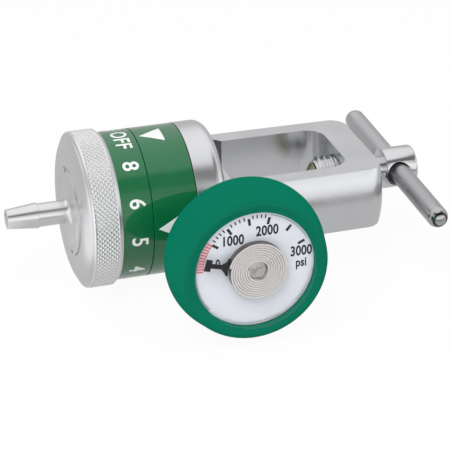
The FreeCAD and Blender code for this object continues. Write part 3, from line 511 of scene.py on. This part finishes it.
def about_bar(profile, steps):
    """Grid of a profile of (x, r) carried round the bar's axis."""
    turn = np.linspace(0, 2 * math.pi, steps, endpoint=False)[:, None]
    x, r = profile[:, 0][None], profile[:, 1][None]
    return np.stack([np.broadcast_to(x, (steps, x.shape[1])), -r * np.cos(turn), r * np.sin(turn)], -1)


knurl_left, knurl_right, knurl_radius = -43.75, -36.6, 23.4
diamonds_round, diamonds_across, samples = 96, 5, 8
face_x, back_x, inner_radius, skirt_radius = -46.2, -26.3, 17.05, 22.0
shoulder_radius, shoulder_depth, shoulder_rise = 16.4, 2.42, 5.95
inner = softened([(-43.6, inner_radius), (-43.6, 11.1), (-44.5, 11.1), (-44.5, 13.2), (face_x, 13.2, 0.15),
                  (face_x, 16.0)], 5)[:-1]
bend = np.radians(np.linspace(0, 78, 14))
shoulder = np.column_stack([face_x + shoulder_depth * (1 - np.cos(bend)),
                            shoulder_radius + shoulder_rise * np.sin(bend)])
rim_front = [[-44.28, 22.3], [-44.3, 22.4], [-44.27, 22.98], [-43.98, 23.27]]
front = np.vstack([inner, shoulder, rim_front])
back_part = softened([(knurl_right, 23.1), (-36.3, 22.95), (-35.4, 22.32, 0.1), (-35.4, skirt_radius),
                      (back_x, skirt_radius), (back_x, inner_radius)], 3)
across = np.linspace(knurl_left, knurl_right, diamonds_across * samples + 1)
whole = np.vstack([front, np.column_stack([across, np.full(len(across), knurl_radius)]), back_part])
knob_grid = about_bar(whole, diamonds_round * samples)
is_knurl = np.zeros(len(whole), bool)
is_knurl[len(front):len(front) + len(across)] = True
around = np.linspace(0, diamonds_round, diamonds_round * samples, endpoint=False)[:, None]
along = ((across - knurl_left) / (knurl_right - knurl_left) * diamonds_across)[None]


def zigzag(value):
    """Triangle wave: 0 at whole numbers and 1 half way between them."""
    return 1 - np.abs(2 * (value % 1) - 1)


# Each diamond is a small pyramid: its height is the lower of two triangle waves that run
# at opposite slants, cut off flat at the top and run out at both ends of the rim.
knurl_depth, end_depth, flat_top, run_out = 0.42, 0.10, 1.25, 0.25
pyramid = np.minimum(1.0, flat_top * np.minimum(zigzag(around + along), zigzag(around - along)))
ends = np.clip(np.minimum(along, diamonds_across - along) / run_out, 0, 1)
knurl_height = -knurl_depth * (1 - pyramid) * ends - end_depth * (1 - ends)
turn = around / diamonds_round * 2 * math.pi
knob_grid[:, is_knurl, 1] -= knurl_height * np.cos(turn)
knob_grid[:, is_knurl, 2] += knurl_height * np.sin(turn)


def face_middles(mesh):
    """The middle of every face as rows of three numbers in millimetres."""
    middles = np.zeros(len(mesh.polygons) * 3)
    mesh.polygons.foreach_get("center", middles)
    return middles.reshape(-1, 3) / MM


knob_aluminium = metal("knob_aluminium", (0.80, 0.80, 0.815), 0.30, 0.000004, 7000)
knob_mesh = surface("knob_shell", knob_grid, sharp=50)
knob_shell = finished("knob_shell", knob_mesh, knob_aluminium, "knob")
# The knurl gets a brighter copy of the knob's metal, a painted highlight for the light its diamonds catch.
knurl_lit_aluminium = metal("knurl_lit_aluminium", (0.95, 0.95, 0.96), 0.34, 0.000002, 7000)
# The knob's end face at the gap gets the same bright green, painted light in the gap.
painted(knob_aluminium, [(-0.02635, -0.02625, *gap_radii, gap_light_green)])
knob_mesh.materials.append(knurl_lit_aluminium)
middles = face_middles(knob_mesh)
knurl_floor = 22.7
on_knurl = np.hypot(middles[:, 1], middles[:, 2]) > knurl_floor
knob_mesh.polygons.foreach_set("material_index", on_knurl.astype(np.int32))
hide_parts("flow_knob")

# Piston spring
# Four turns of round wire between the piston and the floor of its chamber. It
# shortens as the piston slides.
spring_radius, wire_radius, spring_left, spring_right, spring_turns = 7.5, 0.75, -30.23, -20.77, 4
share = np.linspace(0, 1, spring_turns * 72 + 1)
thick = np.concatenate([[0], np.ones(len(share)), [0]])[:, None]
share = np.concatenate([[0], share, [1]])[:, None]
angle = 2 * math.pi * spring_turns * share
ring = np.linspace(0, 2 * math.pi, 20, endpoint=False)[None]
from_axis = spring_radius + wire_radius * thick * np.sin(ring)
spring_grid = np.stack([spring_left + (spring_right - spring_left) * share + wire_radius * thick * np.cos(ring),
                        from_axis * np.cos(angle), from_axis * np.sin(angle)], -1)
spring_mesh = surface("pressure_spring", spring_grid, wrap_u=False)
pressure_spring = finished("pressure_spring", spring_mesh, ground_steel, "regulator")
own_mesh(pressure_spring)
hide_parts("piston_spring")

# Number band
# A green film round the knob with the flow settings in white. The setting in
# use stands at the arrow on top.
dress("number_band", label_green)
settings = ("OFF", "8", "6", "5", "4", "3", "2", "1.5", "1", ".75", ".5", ".25")
settings_x, first_angle, step_angle, setting_height, setting_weight = -30.45, 84, 30, 4.9, 0.015
for step, words in enumerate(settings):
    name = "setting_%02d" % step
    stretch = 0.84 if len(words) == 3 else 0.95
    mesh = sliced(flat_text(name, words, setting_height, setting_weight, stretch, print_thickness), strip_width)
    bent = round_bar_print(mesh, settings_x, first_angle - step_angle * step)
    finished(name, bent, print_white, "knob")

# Outlet barb
# Plated brass: a tapered barb, a disc with two spanner notches that keeps the
# knob on, and a threaded stem.
bright_plate = metal("bright_plate", (0.80, 0.80, 0.81), 0.23, 0.000003, 8000)
tree, shader, spot = parts_of(bright_plate)
from_axis = hypotenuse(tree, spot["Y"], spot["Z"])
disc_start, disc_dullness, ramp_scale = 4.6 * MM, 0.16, 50.0
on_disc = sums(tree, "GREATER_THAN", from_axis, disc_start)
duller = sums(tree, "MULTIPLY_ADD", on_disc, disc_dullness, source(shader, "Roughness"))
tree.links.new(duller, shader.inputs["Roughness"])
# The disc's edge is turned down a little.
slope = ramp(tree, product(tree, from_axis, ramp_scale), [(0.51, 1.0), (0.545, 0.0)])
edge = add(tree, "ShaderNodeBump", {"Height": slope, "Strength": 1.0, "Distance": 0.0004,
           "Normal": source(shader, "Normal")})
tree.links.new(edge.outputs[0], shader.inputs["Normal"])
# The bore is painted a pale matt grey, painted light that keeps the hole from going dark in its shade.
painted(bright_plate, [(-0.0655, -0.03, -0.001, 0.00195, (0.62, 0.62, 0.63))])
dress("outlet_barb", bright_plate)

# Yoke screw
# Plated steel with a half-inch thread of 13 turns to the inch, a neck and a
# round head with a cross hole for the T bar. The thread's flanks meet at 60
# degrees.
screw_plate = metal("screw_plate", (0.72, 0.725, 0.74), 0.13, 0.000002, 9000)
pitch = 25.4 / 13
start_x, end_x = 30.3, 44.6
thread_radius, thread_depth, start_radius = 6.35, 1.05, 5.0
bore_radius, bore_end, neck_radius, neck_end = 2.45, 34.3, 3.9, 52.4
crest = np.array([0.0, 0.06, 0.44, 0.56, 0.94])
crest_height = np.array([0.0, 0.0, 1.0, 1.0, 0.0])
turns = int(math.ceil((end_x - start_x) / pitch)) + 2
phase = (np.arange(turns)[:, None] + crest[None]).ravel()
tall = np.tile(crest_height, turns)
turn = np.linspace(0, 2 * math.pi, 97)[:, None]


def around_screw(x, r):
    """Part of the screw's grid: points at an x and a radius, at every turn."""
    return np.stack([x + 0 * turn, -r * np.cos(turn), r * np.sin(turn)], -1)


# The thread starts with a chamfer, and behind it a cone runs down to the neck.
x = start_x + pitch * (phase[None] - 1 + turn / (2 * math.pi))
r = thread_radius - thread_depth * (1 - tall[None]) + 0 * turn
r = np.minimum(r, np.clip(start_radius + x - start_x, start_radius, thread_radius))
thread_grid = np.concatenate([
    around_screw(bore_end, 0.0), around_screw(bore_end, bore_radius), around_screw(start_x, bore_radius),
    around_screw(np.clip(x, start_x, end_x), r), around_screw(end_x + 2.45, neck_radius),
    around_screw(neck_end, neck_radius), around_screw(neck_end, 0.0)], 1)
thread_mesh = surface("screw_thread", thread_grid, wrap_u=False, wrap_v=False, sharp=30)
screw_thread = finished("screw_thread", thread_mesh, screw_plate, "screw")
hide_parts("yoke_screw")

# T head
# A round head with a cross hole that is a little ahead of the bar, which rests
# on its far side. The hole's walls are duller than the plating.
head_start, head_end, head_radius = 52.2, 62.2, 6.2
hole_x, hole_radius, hole_half_length, tilt = 56.015, 3.9, 12.0, math.radians(2.06)
head_profile = softened([(head_start, 0.0), (head_start, head_radius, 0.25), (head_end, head_radius, 0.9),
                         (head_end, 0.0)], 5)
head_mesh = surface("t_head", about_bar(head_profile, 192), wrap_v=False, sharp=30)
hole_turn = np.linspace(0, 2 * math.pi, 128, endpoint=False)[:, None]
along_bar = np.array([-hole_half_length, -hole_half_length, hole_half_length, hole_half_length])[None]
off = np.array([0.0, hole_radius, hole_radius, 0.0])[None]
side_z, side_y = off * np.sin(hole_turn), along_bar + 0 * hole_turn
hole_grid = np.stack([hole_x + off * np.cos(hole_turn), side_y * math.cos(tilt) - side_z * math.sin(tilt),
                      side_y * math.sin(tilt) + side_z * math.cos(tilt)], -1)
hole_mesh = surface("cross_hole", hole_grid, wrap_v=False)
t_head = finished("t_head", head_mesh, screw_plate, "screw")
cutter = bpy.data.objects.new("cross_hole", hole_mesh)
bpy.context.scene.collection.objects.link(cutter)
cut = t_head.modifiers.new("cross_hole", "BOOLEAN")
cut.object = cutter
cut.operation = "DIFFERENCE"
cut.solver = "EXACT"
edge = t_head.modifiers.new("broken_edge", "BEVEL")
edge.width = 0.12 * MM
edge.segments = 2
edge.limit_method = "ANGLE"
edge.angle_limit = math.radians(40)
bpy.context.view_layer.update()
cut_mesh = bpy.data.meshes.new_from_object(t_head.evaluated_get(bpy.context.evaluated_depsgraph_get()))
t_head.modifiers.clear()
t_head.data = cut_mesh
cut_mesh.name = "t_head_cut"
cut_mesh.polygons.foreach_set("use_smooth", np.ones(len(cut_mesh.polygons), bool))
cut_mesh.set_sharp_from_angle(angle=math.radians(35))
hole_wall = metal("hole_wall", (0.5, 0.5, 0.52), 0.5, 0.000002, 9000)
hole_wall.node_tree.nodes["Principled BSDF"].inputs["Metallic"].default_value = 0.3
cut_mesh.materials.clear()
cut_mesh.materials.append(screw_plate)
cut_mesh.materials.append(hole_wall)
middles = face_middles(cut_mesh)
from_hole = np.hypot(middles[:, 0] - hole_x, middles[:, 2] * math.cos(tilt) - middles[:, 1] * math.sin(tilt))
from_screw = np.hypot(middles[:, 1], middles[:, 2])
in_hole = (from_hole < hole_radius + 0.05) & (from_screw < head_radius - 0.05)
cut_mesh.polygons.foreach_set("material_index", in_hole.astype(np.int32))
bpy.data.objects.remove(cutter)
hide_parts("yoke_screw")

# Screw point and T bar
# A brass point that swivels in the screw's end, and a plated bar with polished
# round ends. Beside the head the bar is staked, which leaves a patch of dents.
dress("screw_point", brass)
bar_plate = metal("bar_plate", (0.57, 0.57, 0.585), 0.38, 0.000002, 9000)
tree, shader, spot = parts_of(bar_plate)
from_middle = sums(tree, "ABSOLUTE", spot["Y"])
dullness = ramp(tree, product(tree, from_middle, 20.0), [(0.60, 1.0), (0.70, 0.18)])
tree.links.new(product(tree, source(shader, "Roughness"), dullness), shader.inputs["Roughness"])
# The near half is painted a little darker, a painted shade, and a dark ring is a painted reflection of the studio seen
# in the round end.
near_half_shade = ramp(tree, sums(tree, "MULTIPLY_ADD", spot["Y"], 10.0, 0.5), [(0.42, 0.90), (0.58, 1.0)])
bar_colour = mixed(tree, 1.0, source(shader, "Base Color"), near_half_shade, blend_type="MULTIPLY")
ring_y, stake_y, stake_x = (0.0370, 0.0376), (-0.0175, -0.0070), (0.0525, 0.0545)
ring_share = between(tree, from_middle, *ring_y)
tree.links.new(mixed(tree, ring_share, bar_colour, (0.07, 0.07, 0.075, 1)), shader.inputs["Base Color"])
staked = product(tree, between(tree, spot["Y"], *stake_y), between(tree, spot["X"], *stake_x))
dents = add(tree, "ShaderNodeTexNoise", {"Vector": object_place(tree), "Scale": 1500.0, "Detail": 2.0})
relief = add(tree, "ShaderNodeBump", {"Height": product(tree, dents.outputs[0], staked), "Strength": 1.0,
             "Distance": 0.0004, "Normal": source(shader, "Normal")})
tree.links.new(relief.outputs[0], shader.inputs["Normal"])
dress("t_bar", bar_plate)

# Gauge stem
# Plated brass, with a hexagon for the spanner and a thin washer on the body.
gauge_x, case_x = -5.1, -5.7
upright = (0, 0, math.radians(90))
gauge_plate = metal("gauge_plate", (0.62, 0.62, 0.63), 0.26, 0.000004, 9000, (gauge_x * MM, 0, 0), upright)
dress("gauge_stem", gauge_plate)
dress("gauge_washer", washer_white)

# Gauge case and boot
# A thin steel cup inside a green rubber boot with a rounded back edge, a waist
# that swells and a lip round the lens.
case_steel = metal("case_steel", (0.68, 0.69, 0.7), 0.3, 0.000003, 9000, (case_x * MM, 0, 0), upright)
dress("gauge_case", case_steel)


def rubber(name, colour):
    """Soft satin rubber: faint mottling, a fine matt grain and a little green sheen."""
    paint = bpy.data.materials.new(name)
    tree = new_tree(paint)
    place = object_place(tree)
    cloud = add(tree, "ShaderNodeTexNoise", {"Vector": place, "Scale": 60.0, "Detail": 5.0, "Roughness": 0.6})
    grain = add(tree, "ShaderNodeTexNoise", {"Vector": place, "Scale": 4200.0, "Detail": 3.0, "Roughness": 0.7})
    shade = ramp(tree, cloud.outputs[0], [(0.3, tuple(c * 0.95 for c in colour)),
                                          (0.7, tuple(c * 1.03 for c in colour))])
    uneven = add(tree, "ShaderNodeMapRange", {"Value": cloud.outputs[0], "From Min": 0.3, "From Max": 0.7,
                 "To Min": 0.42, "To Max": 0.52})
    relief = add(tree, "ShaderNodeBump", {"Height": grain.outputs[0], "Strength": 1.0, "Distance": 0.000012})
    matt = add(tree, "ShaderNodeBsdfDiffuse", {"Color": shade, "Roughness": 0.6, "Normal": relief.outputs[0]})
    gloss = add(tree, "ShaderNodeBsdfGlossy", {"Color": (0.25, 0.8, 0.62, 1), "Roughness": uneven.outputs[0],
                "Normal": relief.outputs[0]})
    surface = add(tree, "ShaderNodeMixShader", {0: 0.03, 1: matt.outputs[0], 2: gloss.outputs[0]})
    add(tree, "ShaderNodeOutputMaterial", {"Surface": surface.outputs[0]})
    return paint


boot_green = rubber("boot_green", (0.0, 0.165, 0.094))
dress("gauge_boot", boot_green)

# Dial
# White painted plate, printed with a scale from 0 to 3000 in black, a pink band
# hatched in red at the low end and a thin green line at the high end.
dial_white = enamel("dial_white", (0.76, 0.765, 0.82), 0.5, 0.0, 0.02)
dress("gauge_dial", dial_white)
print_black = enamel("print_black", (0.02, 0.02, 0.022), 0.5, 0.0)
print_red = enamel("print_red", (0.62, 0.06, 0.09), 0.5, 0.0)
print_green = enamel("print_green", (0.10, 0.42, 0.30), 0.5, 0.0)
dial_y = -52.7


def on_dial(mesh, radius, clock):
    """Stand a flat print on the dial: u to the right, v up, its middle at a radius and a clock angle from the top."""
    u, v, w = spots_of(mesh).T
    across = u + radius * math.sin(math.radians(clock))
    height = v + radius * math.cos(math.radians(clock))
    mesh.vertices.foreach_set("co", (np.column_stack([gauge_x + across, dial_y - w, height]) * MM).ravel())
    return mesh


def turned_outwards(mesh):
    """Make every face point out of the closed print."""
    work = bmesh.new()
    work.from_mesh(mesh)
    bmesh.ops.remove_doubles(work, verts=work.verts, dist=1e-9)
    bmesh.ops.recalc_face_normals(work, faces=work.faces)
    work.to_mesh(mesh)
    work.free()
    return mesh


def bars(name, marks, thickness=0.02):
    """Many small plates in one mesh: each mark is (clock angle, inner radius, outer radius, half width)."""
    marks = np.array(marks, float)
    clock = np.radians(marks[:, 0])[:, None]
    radial = np.stack([marks[:, 1], marks[:, 1], marks[:, 2], marks[:, 2]], 1)
    side = marks[:, 3][:, None] * np.array([-1, 1, 1, -1])
    across = radial * np.sin(clock) + side * np.cos(clock)
    height = radial * np.cos(clock) - side * np.sin(clock)
    low = np.stack([gauge_x + across, np.full_like(across, dial_y), height], -1)
    high = low - np.array([0, thickness, 0])
    spots = np.concatenate([low, high], 1).reshape(-1, 3)
    box = np.array([(0, 1, 2, 3), (7, 6, 5, 4), (0, 4, 5, 1), (1, 5, 6, 2), (2, 6, 7, 3), (3, 7, 4, 0)])
    faces = (np.arange(len(marks))[:, None, None] * 8 + box).reshape(-1, 4)
    mesh = bpy.data.meshes.new(name)
    mesh.from_pydata((spots * MM).tolist(), [], faces.tolist())
    return turned_outwards(mesh)


major = {0: -78.0, 500: -54.8, 1000: -32.2, 1500: -8.0, 2000: 14.4, 2500: 40.4, 3000: 64.6}
steps = np.array(sorted(major))
clocks = np.array([major[key] for key in steps])
major_mark, minor_mark, low_mark = (13.6, 15.75, 0.40), (15.4, 16.5, 0.19), (15.7, 17.6, 0.12)
minor_clocks = [float(np.interp(value, steps, clocks)) for value in range(500, 2000, 100) if value % 500]
for name, places, mark in (("scale_major", clocks[1:], major_mark), ("scale_minor", minor_clocks, minor_mark)):
    finished(name, bars(name, [(clock, *mark) for clock in places]), print_black, "regulator")


def arc_band(name, inner, outer, first, last, thickness):
    """Closed flat arc between two radii and two clock angles."""
    clock = np.radians(np.linspace(first, last, 80))[:, None]
    ring = np.array([[inner, 0.0], [outer, 0.0], [outer, thickness], [inner, thickness]])
    grid = np.stack([gauge_x + ring[:, 0] * np.sin(clock), dial_y - ring[:, 1] + 0 * clock,
                     ring[:, 0] * np.cos(clock)], -1)
    mesh = surface(name, grid, wrap_u=False)
    work = bmesh.new()
    work.from_mesh(mesh)
    bmesh.ops.holes_fill(work, edges=work.edges, sides=4)
    bmesh.ops.recalc_face_normals(work, faces=work.faces)
    work.to_mesh(mesh)
    work.free()
    return mesh


low_start, low_end = -87, -54
print_pink = enamel("print_pink", (0.80, 0.52, 0.56), 0.5, 0.0)
low_hatch = bars("low_band", [(clock, *low_mark) for clock in np.arange(low_start + 1, low_end, 3.0)])
for name, mesh, paint in (
        ("low_wash", arc_band("low_wash", *low_mark[:2], low_start, low_end, 0.01), print_pink),
        ("low_band", low_hatch, print_red),
        ("low_edge", arc_band("low_edge", 15.6, 15.75, low_start, low_end, 0.02), print_red),
        ("high_band", arc_band("high_band", 16.45, 16.65, 15.0, 64.6, 0.015), print_green)):
    finished(name, mesh, paint, "regulator")
dial_weight, dial_print = 0.03, 0.02
for name, words, height, radius, clock, stretch in (
        ("number_0", "0", 2.7, 11.7, -74.7, 0.75), ("number_1000", "1000", 3.2, 11.7, -34.5, 0.76),
        ("number_2000", "2000", 3.2, 11.84, 15.7, 0.76), ("number_3000", "3000", 3.2, 13.8, 75.0, 0.74),
        ("unit_psi", "psi", 3.5, 13.3, 92.5, 0.75)):
    mesh = turned_outwards(flat_text(name, words, height, dial_weight, stretch, dial_print))
    finished(name, turned_outwards(on_dial(mesh, radius, clock)), print_black, "regulator")

# Pressure coil, centre post and pointer
# The pale spring-alloy tube is flattened and wound flat. A slotted post holds
# its inner end, and the black pointer is carried by its outer turn.
coil_alloy = metal("coil_alloy", (0.80, 0.75, 0.73), 0.45, 0.000003, 9000, (gauge_x * MM, 0, 0), upright)
tree, shader, spot = parts_of(coil_alloy)
shader.inputs["Metallic"].default_value = 0.35
# The front edges and the inner turns are pale, and the outer wall is painted dark, a painted shade for the coil's
# shadowed side.
coil_front, pale_radius = -0.05515, 0.0060
from_post = hypotenuse(tree, sums(tree, "SUBTRACT", spot["X"], gauge_x * MM), spot["Z"])
pale = sums(tree, "MAXIMUM", sums(tree, "LESS_THAN", spot["Y"], coil_front),
            sums(tree, "LESS_THAN", from_post, pale_radius))
tree.links.new(mixed(tree, pale, (0.12, 0.11, 0.11, 1), source(shader, "Base Color")), shader.inputs["Base Color"])
dress("gauge_coil", coil_alloy)
post_plate = metal("post_plate", (0.86, 0.85, 0.84), 0.42, 0.000002, 9000)
dress("gauge_post", post_plate)
pointer_black = enamel("pointer_black", (0.015, 0.015, 0.015), 0.5, 0.0)
dress("gauge_pointer", pointer_black)

# Lens
# Clear moulded cap with a rounded edge that stands out of the boot's lip.
lens_clear = bpy.data.materials.new("lens_clear")
tree = new_tree(lens_clear)
paths = add(tree, "ShaderNodeLightPath")
smear = add(tree, "ShaderNodeTexNoise", {"Vector": object_place(tree), "Scale": 120.0, "Detail": 6.0})
dulled = add(tree, "ShaderNodeMapRange", {"Value": smear.outputs[0], "From Min": 0.4, "From Max": 0.8,
             "To Min": 0.0, "To Max": 0.05})
through = add(tree, "ShaderNodeBsdfTransparent", {"Color": (0.995, 0.998, 0.998, 1)})
shine = add(tree, "ShaderNodeBsdfGlossy", {"Color": (0.9, 0.92, 0.92, 1), "Roughness": dulled.outputs[0]})
# Only outer faces mirror, most where they face the front, and never for light that falls through.
form = add(tree, "ShaderNodeNewGeometry")
facing = add(tree, "ShaderNodeSeparateXYZ", {0: form.outputs["True Normal"]})
mirror_index, front_power = 1.35, 1.5
mirrored = product(
    tree, add(tree, "ShaderNodeFresnel", {"IOR": mirror_index}).outputs[0],
    sums(tree, "POWER", sums(tree, "ABSOLUTE", facing.outputs["Y"]), front_power),
    sums(tree, "SUBTRACT", 1.0, form.outputs["Backfacing"]),
    sums(tree, "SUBTRACT", 1.0, sums(tree, "MAXIMUM", paths.outputs["Is Shadow Ray"], paths.outputs["Is Diffuse Ray"])))
clear = add(tree, "ShaderNodeMixShader", {0: mirrored, 1: through.outputs[0], 2: shine.outputs[0]})
add(tree, "ShaderNodeOutputMaterial", {"Surface": clear.outputs[0]})
dress("gauge_lens", lens_clear)
